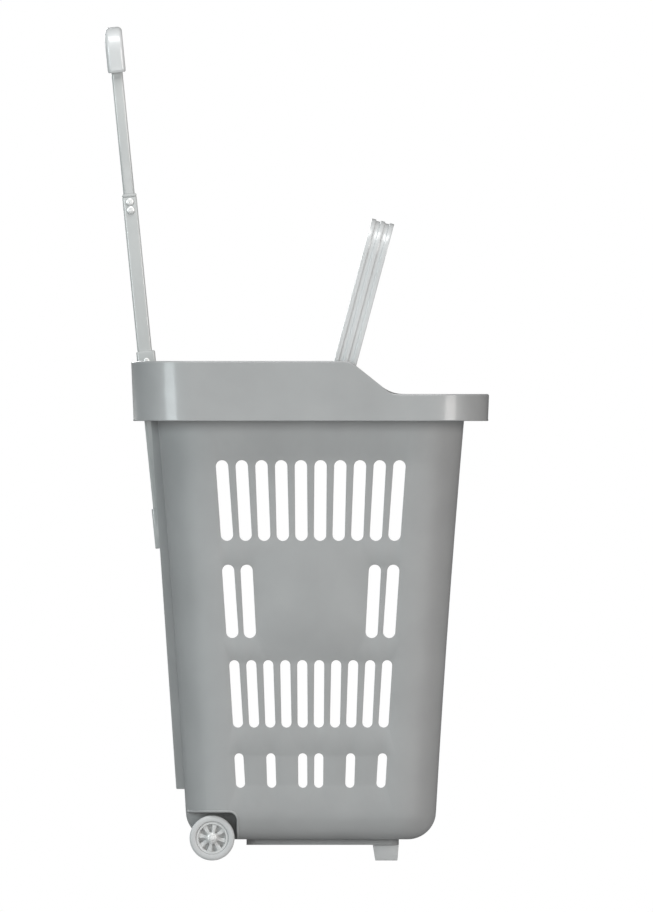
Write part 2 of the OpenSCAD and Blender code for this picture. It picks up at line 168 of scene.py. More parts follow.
def shade(colour, factor):
    """A colour made darker or lighter by a factor."""
    return tuple(c * factor for c in colour)


def moulded(name, colour, roughness, grain=1400, bump=0.05, mottle=0.05, coat=0.0):
    """Moulded plastic: fine spark-eroded grain, faint cloudiness in colour, uneven gloss."""
    material = bpy.data.materials.new(name)
    material.use_nodes = True
    tree = material.node_tree
    shader = tree.nodes["Principled BSDF"]
    coords = tree.nodes.new("ShaderNodeTexCoord").outputs["Object"]
    cloud = noise(tree, coords, 14, 4)
    speck = noise(tree, coords, grain, 2, 0.6)
    tree.links.new(ramp(tree, cloud, [(0.3, shade(colour, 1 - mottle)), (0.7, shade(colour, 1 + mottle))]),
                   shader.inputs["Base Color"])
    tree.links.new(ramp(tree, noise(tree, coords, 60, 3), [(0.3, roughness - 0.06), (0.7, roughness + 0.06)]),
                   shader.inputs["Roughness"])
    relief = node(tree, "ShaderNodeBump", Strength=bump, Distance=0.0004)
    tree.links.new(speck, relief.inputs["Height"])
    tree.links.new(relief.outputs["Normal"], shader.inputs["Normal"])
    shader.inputs["Coat Weight"].default_value = coat
    shader.inputs["Coat Roughness"].default_value = 0.15
    return material


def metal(name, colour, roughness, metallic):
    """Zinc-plated steel with faint blotches in its gloss."""
    material = bpy.data.materials.new(name)
    material.use_nodes = True
    tree = material.node_tree
    shader = tree.nodes["Principled BSDF"]
    coords = tree.nodes.new("ShaderNodeTexCoord").outputs["Object"]
    blotch = noise(tree, coords, 220, 3)
    tree.links.new(ramp(tree, blotch, [(0.3, shade(colour, 0.9)), (0.7, shade(colour, 1.05))]),
                   shader.inputs["Base Color"])
    tree.links.new(ramp(tree, blotch, [(0.2, roughness + 0.08), (0.8, roughness - 0.05)]),
                   shader.inputs["Roughness"])
    shader.inputs["Metallic"].default_value = metallic
    return material


MATERIALS = {
    "tub_plastic": moulded("tub_plastic", (0.33, 0.335, 0.335), 0.5),
    "rim_plastic": moulded("rim_plastic", (0.33, 0.335, 0.335), 0.42, coat=0.4),
    "tube_plastic": moulded("tube_plastic", (0.44, 0.45, 0.445), 0.35, bump=0.02, mottle=0.03, coat=0.5),
    "grip_plastic": moulded("grip_plastic", (0.53, 0.54, 0.54), 0.35, bump=0.01, mottle=0.02, coat=0.5),
    "handle_plastic": moulded("handle_plastic", (0.52, 0.53, 0.53), 0.35, bump=0.01, mottle=0.03, coat=0.5),
    "dark_plastic": moulded("dark_plastic", (0.22, 0.22, 0.23), 0.5),
    "wheel_plastic": moulded("wheel_plastic", (0.55, 0.555, 0.55), 0.4, mottle=0.03, coat=0.3),
    "tyre_rubber": moulded("tyre_rubber", (0.5, 0.505, 0.505), 0.5, grain=900, bump=0.06),
    "foot_plastic": moulded("foot_plastic", (0.5, 0.505, 0.505), 0.5),
    "fastener_steel": metal("fastener_steel", (0.86, 0.86, 0.85), 0.42, 0.55),
}
SLOT_OF = {part["node"]: part["material_slot"] for part in frame["record"]["subparts"]}
BODY_OF = {name: body for body, names in frame["record"]["behaviour"]["bodies"].items() for name in names}


# ---- building pieces ----

def piece(name, bm, nodes, smooth=32):
    """Makes a mesh piece that stands for CAD nodes and takes their body, slot and material."""
    bmesh.ops.recalc_face_normals(bm, faces=bm.faces[:])
    mesh = bpy.data.meshes.new(name)
    bm.to_mesh(mesh)
    bm.free()
    slot = SLOT_OF[nodes[0]]
    mesh.materials.append(MATERIALS[slot])
    obj = bpy.data.objects.new(name, mesh)
    soften(obj, smooth)
    scene.collection.objects.link(obj)
    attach(obj, BODY_OF[nodes[0]])
    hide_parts(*nodes)
    return obj


def add_loop(bm, points):
    return [bm.verts.new(p) for p in points]


def bridge(bm, first, second, skip=lambda i: False):
    """Quads between two loops with the same number of vertices, except where skip(i) is true."""
    count = len(first)
    for i in range(count):
        j = (i + 1) % count
        if not skip(i):
            bm.faces.new((first[i], first[j], second[j], second[i]))


def tube_of_loops(bm, loops, closed=False):
    """Skins a list of point loops. The ends are capped unless the list closes on itself."""
    made = [add_loop(bm, points) for points in loops]
    for a, b in zip(made, made[1:]):
        bridge(bm, a, b)
    if closed:
        bridge(bm, made[-1], made[0])
    else:
        bm.faces.new(made[0][::-1])
        bm.faces.new(made[-1])
    return made


def soften(obj, angle=32):
    """Shades a piece smooth, except across edges sharper than angle in degrees."""
    obj.data.shade_smooth()
    obj.data.set_sharp_from_angle(angle=math.radians(angle))


def block(loops):
    """A closed solid skinned over point loops."""
    bm = bmesh.new()
    tube_of_loops(bm, loops)
    bmesh.ops.recalc_face_normals(bm, faces=bm.faces[:])
    return bm


def sweep(bm, path, section):
    """Carries a section, given as points (across, up), along a path of points."""
    loops = []
    for i, place in enumerate(path):
        ahead = (path[min(i + 1, len(path) - 1)] - path[max(i - 1, 0)]).normalized()
        turn = ahead.to_track_quat("Z", "Y").to_matrix()
        loops.append([place + turn @ Vector((u, v, 0)) for u, v in section])
    tube_of_loops(bm, loops)


def temporary(bm):
    """A solid that only helps to shape a piece."""
    mesh = bpy.data.meshes.new("tool")
    bm.to_mesh(mesh)
    bm.free()
    obj = bpy.data.objects.new("tool", mesh)
    scene.collection.objects.link(obj)
    return obj


def combine(obj, tool, operation):
    """Unites, cuts or intersects a piece with a temporary solid, and removes that solid."""
    modifier = obj.modifiers.new("combine", "BOOLEAN")
    modifier.operation, modifier.solver, modifier.object = operation, "EXACT", tool
    graph = bpy.context.evaluated_depsgraph_get()
    result = bpy.data.meshes.new_from_object(obj.evaluated_get(graph))
    obj.modifiers.clear()
    obj.data = result
    bpy.data.objects.remove(tool)


def arc(centre, r, start, end, steps):
    """Points on an arc in a plane, angles in degrees."""
    points = []
    for i in range(steps + 1):
        a = math.radians(start + (end - start) * i / steps)
        points.append((centre[0] + r * math.cos(a), centre[1] + r * math.sin(a)))
    return points


def rounded_rect(width, depth, r, steps=5):
    """A rectangle with round corners, centred, anticlockwise."""
    x, y = width / 2 - r, depth / 2 - r
    return (arc((x, y), r, 0, 90, steps) + arc((-x, y), r, 90, 180, steps)
            + arc((-x, -y), r, 180, 270, steps) + arc((x, -y), r, 270, 360, steps))


def circle(r, steps):
    return [(r * math.cos(math.tau * i / steps), r * math.sin(math.tau * i / steps)) for i in range(steps)]


def revolve(bm, profile, steps, place, closed=True):
    """Turns a profile of (radius, height) points about the z axis of place."""
    rings = []
    for i in range(steps):
        a = math.tau * i / steps
        rings.append([place @ Vector((r * math.cos(a), r * math.sin(a), h)) for r, h in profile])
    made = [add_loop(bm, ring) for ring in rings]
    for i in range(steps):
        first, second = made[i], made[(i + 1) % steps]
        for j in range(len(profile) if closed else len(profile) - 1):
            k = (j + 1) % len(profile)
            bm.faces.new((first[j], first[k], second[k], second[j]))


def turned(bm, profile, steps, place):
    """A solid of revolution whose profile runs from the axis back to the axis."""
    inner = [p for p in profile if p[0] > 0]
    low = bm.verts.new(place @ Vector((0, 0, profile[0][1])))
    high = bm.verts.new(place @ Vector((0, 0, profile[-1][1])))
    loops = []
    for r, h in inner:
        loops.append(add_loop(bm, [place @ Vector((x, y, h)) for x, y in circle(r, steps)]))
    for a, b in zip(loops, loops[1:]):
        bridge(bm, a, b)
    for i in range(steps):
        j = (i + 1) % steps
        bm.faces.new((low, loops[0][j], loops[0][i]))
        bm.faces.new((high, loops[-1][i], loops[-1][j]))


def tube_frame(y=0.0):
    """Frame of the leaning tubes: origin at the level of the rear rim, z up along them."""
    return Matrix.Translation((TUBE_X, y, RIM_REAR)) @ Matrix.Rotation(-TUBE_LEAN, 4, "Y")


# ---- outlines of the tub and rim ----

def stations():
    """Places round a rounded rectangle: (normal x, normal y, share of the straight along x, along y)."""
    corner_steps, end_steps = 18, 8
    rear_shares = [-1, -0.995, -0.8, -0.6, -0.4, -0.2, 0]
    side_shares = rear_shares + [0.2 + 0.02 * i for i in range(1, 35)] + [0.95, 0.995]
    end_shares = [-1 + 2 * i / end_steps for i in range(end_steps)]
    found = []
    for turn, (sx, sy) in enumerate([(1, 1), (-1, 1), (-1, -1), (1, -1)]):
        for i in range(corner_steps + 1):
            a = math.radians(90 * (turn + i / corner_steps))
            found.append((math.cos(a), math.sin(a), sx, sy))
        if turn == 0:
            found += [(0, 1, share, 1) for share in reversed(side_shares[1:])]
        elif turn == 1:
            found += [(-1, 0, -1, -share) for share in end_shares[1:]]
        elif turn == 2:
            found += [(0, -1, share, -1) for share in side_shares[1:]]
        else:
            found += [(1, 0, 1, share) for share in end_shares[1:]]
    return found


STATIONS = stations()


def on_side(station, side):
    """Whether a station lies on the flat of one side wall, away from the corners."""
    return abs(station[1] - side) < 1e-6 and abs(station[2]) < 0.999


def outline(centre_x, station, half, r):
    nx, ny, sx, sy = station
    return Vector((centre_x + sx * (half.x - r) + nx * r, sy * (half.y - r) + ny * r))


def rim_line(x):
    """Height of the rim's top at x: level, an S-curve down, then level."""
    run, drop = S_R * math.sin(S_ANGLE), S_R * (1 - math.cos(S_ANGLE))
    straight = (RIM_REAR - RIM_FRONT - 2 * drop) / math.tan(S_ANGLE)
    along = x - S_START
    if along <= 0:
        return RIM_REAR
    if along < run:
        return RIM_REAR - S_R + math.sqrt(S_R ** 2 - along ** 2)
    if along < run + straight:
        return RIM_REAR - drop - (along - run) * math.tan(S_ANGLE)
    if along < 2 * run + straight:
        return RIM_FRONT + S_R - math.sqrt(S_R ** 2 - (2 * run + straight - along) ** 2)
    return RIM_FRONT


def half_length(z):
    """Half the tub's length at a height: a gentle curve through its base, waist and mouth."""
    t = (z - ARC_Z) / (MOUTH_Z - ARC_Z)
    w = (WAIST_Z - ARC_Z) / (MOUTH_Z - ARC_Z)
    bend = (WAIST_HALF_X - BASE_HALF.x - (MOUTH_HALF.x - BASE_HALF.x) * w) / (w * (w - 1))
    return BASE_HALF.x + (MOUTH_HALF.x - BASE_HALF.x) * t + bend * t * (t - 1)


def wall_point(station, z, inset):
    """A point on the tub's drafted wall, moved in by inset."""
    share = (z - ARC_Z) / (MOUTH_Z - ARC_Z)
    half = Vector((half_length(z), BASE_HALF.y + (MOUTH_HALF.y - BASE_HALF.y) * share))
    r = BASE_CORNER + (MOUTH_CORNER - BASE_CORNER) * share
    p = outline(TUB_X, station, half - Vector((inset, inset)), r - inset)
    return Vector((p.x, p.y, z))


def rim_point(station, z, inset):
    """A point on the rim's skirt, moved in by inset."""
    grow = (z - RIM_BOTTOM) * RIM_SLOPE
    p = outline(RIM_X, station, RIM_HALF + Vector((grow - inset, grow - inset)), RIM_CORNER - inset)
    return Vector((p.x, p.y, z))


# ---- rim ----

def rim_section(station):
    """The rim's cross-section at one station, from inside the skirt, round the outside and over the top."""
    top = rim_line(rim_point(station, RIM_REAR, 0).x)
    lip = rim_line(wall_point(station, RIM_REAR, WALL).x)
    under = rim_line(rim_point(station, RIM_REAR, SKIRT).x) - RIM_TOP
    base = RIM_BOTTOM
    edge = 2.4 * MM
    points = [rim_point(station, under, SKIRT), rim_point(station, base + 0.6 * MM, SKIRT),
              rim_point(station, base, SKIRT - 0.6 * MM), rim_point(station, base, 0.7 * MM)]
    points += [rim_point(station, base + z * MM, -x * MM) for x, z in
               [(-0.1, 0.15), (0.3, 0.5), (0.4, 1.0), (0.35, 1.5), (0.0, 2.3)]]
    points += [rim_point(station, top - edge + rise, edge - run)
               for run, rise in arc((0, 0), edge, 0, 90, 6)]
    points += [wall_point(station, lip - drop * MM, WALL - out * MM)
               for drop, out in [(0, 1.6), (0.4, 0.4), (1.6, 0)]]
    points.append(wall_point(station, lip - RIM_TOP, WALL))
    return points


def make_rim():
    bm = bmesh.new()
    tube_of_loops(bm, [rim_section(station) for station in STATIONS], closed=True)
    obj = piece("rim_band_shaped", bm, ["rim_band"])
    for side in SIDES.values():
        place = tube_frame(side * TUBE_Y) @ Matrix.Translation((COLLAR_SHIFT, 0, 0))
        hole = [[place @ Vector((x, y, z)) for x, y in rounded_rect(*COLLAR, 3 * MM)]
                for z in (-14 * MM, 14 * MM)]
        combine(obj, temporary(block(hole)), "DIFFERENCE")
    soften(obj)


# ---- tub ----

SLOT_ROWS = [  # height of the middle, length, width, places along x from the middle of the rows
    (432.0, 97.0, 14.8, [23.0 * (i - 4.5) for i in range(10)]),
    (311.0, 88.2, 14.6, [-96.6, -75.0, 75.0, 96.6]),
    (200.0, 81.0, 12.1, [19.9 * (i - 4.5) for i in range(10)]),
    (108.0, 41.4, 10.9, [-85.2, -47.4, -9.6, 9.6, 47.4, 85.2]),
]
SLOTS_X = TUB_X - 0.2 * MM
SLOT_FAN = 0.105
LEVELS = [ARC_Z + 68 * MM * i for i in range(8)]


def slot_outline(z, length, width, x):
    """One slot's outline as (x, z) points, leaning with the taper of the tub."""
    lean = math.atan(x / BASE_HALF.x * SLOT_FAN)
    r, reach = width / 2, (length - width) / 2
    points = arc((0, reach), r, 0, 180, 12) + arc((0, -reach), r, 180, 360, 12)
    return [(SLOTS_X + x + u * math.cos(lean) + v * math.sin(lean),
             z - u * math.sin(lean) + v * math.cos(lean)) for u, v in points]


def skin_rings(bm, inset):
    """Rings of one skin of the tub, from under its floor up to just below the rim's top line."""
    bend = EDGE_R - inset
    draft = math.atan((MOUTH_HALF.y - BASE_HALF.y) / (MOUTH_Z - ARC_Z))
    rings = []
    for i in range(12):
        a = -math.pi / 2 + (math.pi / 2 - draft) * i / 12
        ring = []
        for station in STATIONS:
            centre = outline(TUB_X, station, BASE_HALF - Vector((EDGE_R, EDGE_R)), BASE_CORNER - EDGE_R)
            reach = bend * math.cos(a)
            ring.append((centre.x + reach * station[0], centre.y + reach * station[1],
                         ARC_Z + bend * math.sin(a)))
        rings.append(add_loop(bm, ring))
    for z in LEVELS:
        rings.append(add_loop(bm, [wall_point(station, z, inset) for station in STATIONS]))
    tops = [rim_line(wall_point(station, RIM_REAR, inset).x) - RIM_TOP for station in STATIONS]
    rings.append(add_loop(bm, [wall_point(s, z, inset) for s, z in zip(STATIONS, tops)]))
    return rings


def solid_tub():
    """The tub's outside as a solid block, to trim its inner walls with."""
    bm = bmesh.new()
    rings = skin_rings(bm, 0)
    for first, second in zip(rings, rings[1:]):
        bridge(bm, first, second)
    bm.faces.new(rings[0][::-1])
    bm.faces.new(rings[-1])
    return bm


def make_tub():
    bm = bmesh.new()
    skins = {"outer": skin_rings(bm, 0), "inner": skin_rings(bm, WALL)}
    first_level = len(skins["outer"]) - len(LEVELS) - 1
    slots = {side: make_slots(bm, side) for side in SIDES.values()}
    for skin, rings in skins.items():
        bm.faces.new(rings[0])
        for first, second in zip(rings[:first_level], rings[1:first_level + 1]):
            bridge(bm, first, second)
        for first, second in zip(rings[first_level:], rings[first_level + 1:]):
            bridge(bm, first, second, skip=lambda i: any(between(i, side) for side in SIDES.values()))
        for side in SIDES.values():
            fill_panel(bm, panel_border(rings[first_level:], side), slots[side][skin], side)
    bridge(bm, skins["outer"][-1], skins["inner"][-1])
    bmesh.ops.delete(bm, geom=[v for v in bm.verts if not v.link_faces], context="VERTS")
    obj = piece("tub_shaped", bm, ["basket_body"])
    for side in SIDES.values():
        shape_recess(obj, side)
        combine(obj, temporary(block(rail_corners(side))), "DIFFERENCE")
    soften(obj)


def between(i, side):
    """Whether the strip from station i to the next belongs to a side panel."""
    return on_side(STATIONS[i], side) and on_side(STATIONS[(i + 1) % len(STATIONS)], side)


def panel_border(rings, side):
    """The vertices round one side panel: along the bottom, up, back along the top and down."""
    members = [i for i in range(len(STATIONS)) if on_side(STATIONS[i], side)]
    first, last = members[0], members[-1]
    return ([rings[0][i] for i in members] + [ring[last] for ring in rings[1:-1]]
            + [rings[-1][i] for i in reversed(members)] + [ring[first] for ring in reversed(rings[1:-1])])


def make_slots(bm, side):
    """Makes the walls of the slots on one side of the tub and gives back their loops on each skin."""
    mid = (0, side, 0, side)
    edge = 0.8 * MM
    rims = [(edge, 0, 0), (0.3 * edge, 0, 0.3 * edge), (0, 0, edge), (0, WALL, -edge), (edge, WALL, 0)]
    loops = {"outer": [], "inner": []}

    def ring(z, length, width, x, grow, inset, sink):
        shape = slot_outline(z * MM, length * MM + 2 * grow, width * MM + 2 * grow, x * MM)
        return add_loop(bm, [(px, wall_point(mid, pz, inset).y - side * sink, pz) for px, pz in shape])

    for z, length, width, places in SLOT_ROWS:
        for x in places:
            made = [ring(z, length, width, x, grow, inset, sink) for grow, inset, sink in rims]
            for first, second in zip(made, made[1:]):
                bridge(bm, first, second)
            loops["outer"].append(made[0])
            loops["inner"].append(made[-1])
    return loops


def fill_panel(bm, border, holes, side):
    """Fills a flat panel between its border and its holes."""
    edges = []
    for loop in [border] + holes:
        for i, vert in enumerate(loop):
            other = loop[(i + 1) % len(loop)]
            edges.append(bm.edges.get((vert, other)) or bm.edges.new((vert, other)))
    bmesh.ops.triangle_fill(bm, use_beauty=True, use_dissolve=False, edges=edges, normal=(0, side, 0))


# ---- wheel recesses, axle boss and rail windows ----

RECESS_Y = 93 * MM
RECESS_X = -71.7 * MM
RECESS_TOP = 57.8 * MM
RECESS_R = 10 * MM
BOSS_R = 9 * MM
BOSS_HALF = 103.7 * MM


def recess_outline(grow):
    """The recess seen from the side, past the tub's rear and bottom, as (x, z) points."""
    r = RECESS_R + grow
    rear, bottom = -300 * MM, -20 * MM
    corner = arc((RECESS_X - RECESS_R, RECESS_TOP - RECESS_R), r, 0, 90, 10)
    return [(RECESS_X + grow, bottom)] + corner + [(rear, RECESS_TOP + grow), (rear, bottom)]


def side_prism(points, near, far):
    """A prism with a side-view outline, between two distances along y."""
    bm = bmesh.new()
    tube_of_loops(bm, [[(x, y, z) for x, z in points] for y in (near, far)])
    bmesh.ops.recalc_face_normals(bm, faces=bm.faces[:])
    return bm


def shape_recess(obj, side):
    """Gives the tub the walls of one wheel recess, then opens it."""
    lining = temporary(side_prism(recess_outline(WALL), side * (RECESS_Y - WALL), side * 200 * MM))
    combine(lining, temporary(solid_tub()), "INTERSECT")
    combine(obj, lining, "UNION")
    opening = temporary(side_prism(recess_outline(0), side * RECESS_Y, side * 210 * MM))
    combine(obj, opening, "DIFFERENCE")


def surface_y(x, z):
    """How far out the tub's side surface is at a place low on its wall."""
    drop = max(ARC_Z - z, 0)
    inset = EDGE_R - math.sqrt(max(EDGE_R ** 2 - drop ** 2, 0))
    half, r = BASE_HALF - Vector((inset, inset)), BASE_CORNER - inset
    past = abs(x - TUB_X) - (half.x - r)
    return half.y - r + math.sqrt(max(r ** 2 - max(past, 0) ** 2, 0))


def make_recess_lips():
    """A rounded lip along the top and front edge of each wheel recess."""
    lip_r, out = 1.4 * MM, 1.1 * MM
    top = RECESS_TOP + out
    straight = [(x * MM, top) for x in range(-131, -82, 2)]
    corner = arc((RECESS_X - RECESS_R, RECESS_TOP - RECESS_R), RECESS_R + out, 90, 0, 12)
    down = [(RECESS_X + out, RECESS_TOP - RECESS_R - i * MM) for i in range(1, 20)]
    bm = bmesh.new()
    for side in SIDES.values():
        path = [Vector((x, side * (surface_y(x, z) - 0.4 * MM), z)) for x, z in straight + corner + down]
        sweep(bm, path, circle(lip_r, 14))
    piece("recess_lips", bm, ["basket_body"], smooth=60)


def make_axle_boss():
    bm = bmesh.new()
    place = Matrix.Translation((WHEEL.x, 0, WHEEL.z)) @ Matrix.Rotation(math.pi / 2, 4, "X")
    edge = 1 * MM
    profile = [(4 * MM, -BOSS_HALF), (BOSS_R - edge, -BOSS_HALF), (BOSS_R, -BOSS_HALF + edge),
               (BOSS_R, BOSS_HALF - edge), (BOSS_R - edge, BOSS_HALF), (4 * MM, BOSS_HALF)]
    revolve(bm, profile, 48, place)
    piece("axle_boss", bm, ["basket_body"])


def rail_corners(side):
    """The eight corners of the window that one rail fills in the rear wall."""
    low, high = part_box("rail_left")
    half = (high.y - low.y) / 2 - 0.1 * MM
    corners = []
    for z, rear in ((low.z + 1 * MM, RAIL_REAR_BOTTOM), (high.z + 8 * MM, RAIL_REAR_TOP)):
        reach = RAIL_FRONT - (z - RIM_REAR) * math.tan(TUBE_LEAN)
        corners.append([(x, side * TUBE_Y + y, z) for x, y in
                        ((rear, -half), (reach, -half), (reach, half), (rear, half))])
    return corners


# ---- pull handle: tubes, shoes, bushes, collars, rivets and grip ----

def hollow_bar(bm, place, outer, bore, low, high, edge, corner=3 * MM):
    """A hollow bar with round corners along z of place, its outer rims eased by edge."""
    rims = [(low, edge), (low + 0.3 * edge, 0.3 * edge), (low + edge, 0),
            (high - edge, 0), (high - 0.3 * edge, 0.3 * edge), (high, edge)]
    loops = []
    for z, inset in rims:
        shape = rounded_rect(outer.x - 2 * inset, outer.y - 2 * inset, corner - inset)
        loops.append([place @ Vector((x, y, z)) for x, y in shape])
    for z in (high, low):
        loops.append([place @ Vector((x, y, z)) for x, y in rounded_rect(bore.x, bore.y, corner - 1 * MM)])
    tube_of_loops(bm, loops, closed=True)


def make_bar(node, side, outer, bore, low, high, edge, shift=0.0):
    """One hollow bar along the tubes on one side, which stands for a CAD node."""
    bm = bmesh.new()
    place = tube_frame(side * TUBE_Y) @ Matrix.Translation((shift, 0, 0))
    hollow_bar(bm, place, outer, bore, low, high, edge)
    piece(node + "_shaped", bm, [node])


def make_tubes():
    slack = Vector((2, 2)) * CLEAR
    wall = Vector((2.4, 2.4)) * MM
    for name, side in SIDES.items():
        make_bar("inner_tube_" + name, side, INNER, INNER - wall, INNER_BOTTOM, INNER_TOP, 0.3 * MM)
        make_bar("outer_tube_" + name, side, OUTER, INNER + slack,
                 OUTER_BOTTOM + 4 * MM, OUTER_TOP - BUSH_HEIGHT, 0.3 * MM)
        make_bar("tube_bush_" + name, side, OUTER, INNER + slack,
                 OUTER_TOP - BUSH_HEIGHT, OUTER_TOP, 1.4 * MM)
        make_bar("tube_shoe_" + name, side, SHOE, OUTER,
                 OUTER_BOTTOM, OUTER_BOTTOM + SHOE_HEIGHT, 0.8 * MM, shift=SHOE_SHIFT)
        make_bar("collar_" + name, side, COLLAR, OUTER + slack,
                 COLLAR_BOTTOM, COLLAR_TOP, 1.8 * MM, shift=COLLAR_SHIFT)


def facing_out(place, side):
    """A frame at a place on the tubes whose z points away from the middle plane."""
    return tube_frame() @ Matrix.Translation(place) @ Matrix.Rotation(-side * math.pi / 2, 4, "X")


def dome(bm, place, r, height, shank_r, shank):
    """A domed head with a crisp edge on a short shank."""
    rim = 0.35
    rise = [(r * u, height * (rim + (1 - rim) * v)) for u, v in arc((0, 0), 1, 0, 75, 5)]
    profile = [(0, -shank), (shank_r, -shank), (shank_r, 0), (r, 0)] + rise + [(0, height)]
    turned(bm, profile, 40, place)


def make_rivets():
    bm = bmesh.new()
    for side in SIDES.values():
        for z in RIVETS_Z:
            place = (0, side * (TUBE_Y + OUTER.y / 2), z)
            dome(bm, facing_out(place, side), 4.6 * MM, 2 * MM, 2 * MM, 1.5 * MM)
    piece("tube_rivets_shaped", bm, ["tube_rivets"], smooth=50)


def make_collar_screws():
    bm = bmesh.new()
    for side in SIDES.values():
        place = (COLLAR_SHIFT, side * (TUBE_Y + COLLAR.y / 2), 0)
        dome(bm, facing_out(place, side), 3.6 * MM, 1.6 * MM, 1.4 * MM, 4 * MM)
    piece("collar_screws_shaped", bm, ["collar_screws"], smooth=50)


def grip_path():
    """The grip's centre line in the tubes' frame, as (y, z) points from one end round to the other."""
    top = GRIP_TOP - GRIP_BAR.y / 2
    rise = [(-TUBE_Y, GRIP_BOTTOM + i * MM) for i in (0, 1.2, 4, 12, 20)]
    first = arc((-TUBE_Y + GRIP_BEND, top - GRIP_BEND), GRIP_BEND, 180, 90, 14)
    return rise + first + [(-y, z) for y, z in reversed(rise + first)]


def make_grip():
    """A smooth bar bent into a U, a little slimmer at its open ends."""
    bm = bmesh.new()
    place = tube_frame()
    path = grip_path()
    ends = {0: 1.2 * MM, 1: 0.3 * MM, len(path) - 2: 0.3 * MM, len(path) - 1: 1.2 * MM}
    loops = []
    for i, (y, z) in enumerate(path):
        before, after = path[max(i - 1, 0)], path[min(i + 1, len(path) - 1)]
        ahead = Vector((0, after[0] - before[0], after[1] - before[1])).normalized()
        across = ahead.cross(Vector((1, 0, 0)))
        inset = 2 * ends.get(i, 0)
        section = rounded_rect(GRIP_BAR.x - inset, GRIP_BAR.y - inset, GRIP_CORNER - inset / 2, 7)
        loops.append([place @ (Vector((0, y, z)) + Vector((u, 0, 0)) + v * across) for u, v in section])
    tube_of_loops(bm, loops)
    piece("pull_grip_shaped", bm, ["pull_grip"], smooth=50)


# ---- carry handle ----

def carry_frame():
    """Frame of the carry handle: origin on its pivot axis, z up along its arms."""
    return Matrix.Translation((CARRY_X, 0, CARRY_Z)) @ Matrix.Rotation(CARRY_LEAN, 4, "Y")


def carry_section():
    """Cross-section of the carry handle as (across the band, outward): three low ribs on a web."""
    half, mid, edge = CARRY_BAND / 2, CARRY_RIB / 2, 0.7 * MM
    chamfer = 0.3 * edge

    def crest(left, right):
        top, foot = CARRY_DEPTH, CARRY_WEB + edge
        return [(left, foot), (left, top - edge), (left + chamfer, top - chamfer), (left + edge, top),
                (right - edge, top), (right - chamfer, top - chamfer), (right, top - edge), (right, foot)]

    def valley(left, right):
        return [(left + chamfer, CARRY_WEB + chamfer), (left + edge, CARRY_WEB),
                (right - edge, CARRY_WEB), (right - chamfer, CARRY_WEB + chamfer)]

    inside = [(half, edge), (half - chamfer, chamfer), (half - edge, 0),
              (-half + edge, 0), (-half + chamfer, chamfer), (-half, edge)]
    return (crest(-half, -half + CARRY_RIB)[1:] + valley(-half + CARRY_RIB, -mid) + crest(-mid, mid)
            + valley(mid, half - CARRY_RIB) + crest(half - CARRY_RIB, half)[:-1] + inside)


def carry_path():
    """The inner face of the carry handle in its own frame: (y, z, outward y, outward z, width share)."""
    inner = CARRY_HALF - CARRY_DEPTH
    r = CARRY_CORNER - CARRY_DEPTH
    top = CARRY_HEIGHT - CARRY_DEPTH
    end = CARRY_BAND / 2
    path = []
    for i in range(9):
        a = math.radians(-85 + 85 * i / 8)
        path.append((-inner, end * math.sin(a), -1, 0, math.cos(a)))
    path += [(-inner, z * MM, -1, 0, 1) for z in range(20, int((top - r) / MM), 20)]
    for i in range(15):
        a = math.radians(180 - 90 * i / 14)
        path.append((-inner + r + r * math.cos(a), top - r + r * math.sin(a), math.cos(a), math.sin(a), 1))
    return path + [(-y, z, -ny, nz, share) for y, z, ny, nz, share in reversed(path)]


def make_carry_handle():
    bm = bmesh.new()
    place = carry_frame()
    loops = []
    for y, z, ny, nz, share in carry_path():
        loops.append([place @ Vector((u * share, y + v * ny, z + v * nz)) for u, v in carry_section()])
    tube_of_loops(bm, loops)
    piece("carry_handle_shaped", bm, ["carry_handle"], smooth=40)


# ---- wheels ----

def wheel_place(side):
    """A wheel's centre, with z pointing away from the middle plane."""
    turn = Matrix.Rotation(-side * math.pi / 2, 4, "X")
    return Matrix.Translation((WHEEL.x, side * WHEEL.y, WHEEL.z)) @ turn


def eased(low_r, high_r, half, edge):
    """A rectangular section with eased corners, as (radius, height) points."""
    return [(low_r, -half + edge), (low_r + edge, -half), (high_r - edge, -half), (high_r, -half + edge),
            (high_r, half - edge), (high_r - edge, half), (low_r + edge, half), (low_r, half - edge)]


def make_tyre(name, side):
    """A tyre with rounded shoulders and a shallow step where it meets the wheel centre."""
    bm = bmesh.new()
    inner, shoulder, half = TYRE_INNER_R, 3.2 * MM, TYRE_HALF
    rise = arc((WHEEL_R - shoulder, half - shoulder), shoulder, 90, 0, 8)
    profile = [(inner, -half + 1.2 * MM), (inner + 0.5 * MM, -half + 0.4 * MM), (inner + 1.4 * MM, -half)]
    profile += [(r, -h) for r, h in rise] + rise[::-1]
    profile += [(inner + 1.4 * MM, half), (inner + 0.5 * MM, half - 0.4 * MM), (inner, half - 1.2 * MM)]
    revolve(bm, profile, 96, wheel_place(side))
    piece("tyre_" + name + "_shaped", bm, ["tyre_" + name])


def spoke_loops(angle, near, far):
    """One wedge-shaped spoke as loops up from the web: its foot, its shoulder and its narrower crest."""
    root_r, tip_r = HUB_R - 1 * MM, RING_INNER_R + 0.4 * MM
    root, tip, edge = 1.7 * MM, 3 * MM, 0.5 * MM
    loops = []
    for height, inset in ((near, 0), (far - edge, 0), (far, edge)):
        loop = []
        for r, half in ((root_r, root), (tip_r, tip), (tip_r, -tip), (root_r, -root)):
            across = math.copysign(abs(half) - inset, half)
            loop.append((r * math.cos(angle) - across * math.sin(angle),
                         r * math.sin(angle) + across * math.cos(angle), height))
        loops.append(loop)
    return loops


